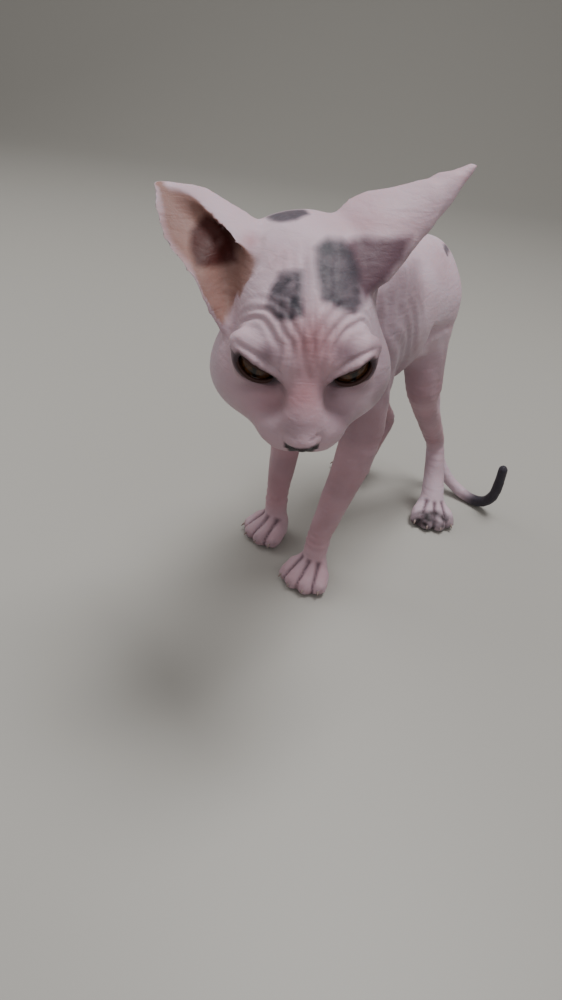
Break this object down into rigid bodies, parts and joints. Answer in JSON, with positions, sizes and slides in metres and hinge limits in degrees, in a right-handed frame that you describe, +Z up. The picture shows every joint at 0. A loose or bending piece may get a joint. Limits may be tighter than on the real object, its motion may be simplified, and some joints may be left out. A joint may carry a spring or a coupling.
{
  "type": "sphynx cat",
  "caption": "Hairless young cat standing on its paws, head lowered and turned to its left, large ears swept out sideways, thin tail curled up at the tip.",
  "frame": {"origin": "on the floor, under the middle of the cat's bounding box", "axes": "+Z up, the trunk runs along Y with the chest towards -Y, and the cat's left side is +X"},
  "size_m": [0.1384, 0.2806, 0.2589],
  "materials": {
    "skin": "bare pink skin with a faint down, grey patches on the forehead",
    "dark_skin": "dark grey skin of the tail end, and dark horn and rims of claws and lids",
    "eye": "wet dark amber eye with a slit pupil"
  },
  "bodies": {
    "root": {"torso": "skin", "neck": "skin", "head": "skin", "lower_jaw": "skin", "eye_left": "eye", "eye_right": "eye", "ear_left": "skin", "ear_right": "skin", "upper_foreleg_left": "skin", "forearm_left": "skin", "forepaw_left": "skin", "thigh_left": "skin", "shank_left": "skin", "hind_foot_left": "skin", "upper_foreleg_right": "skin", "forearm_right": "skin", "forepaw_right": "skin", "thigh_right": "skin", "shank_right": "skin", "hind_foot_right": "skin", "tail_base": "skin", "tail_middle": "skin", "tail_tip": "dark_skin"}
  },
  "joints": []
}
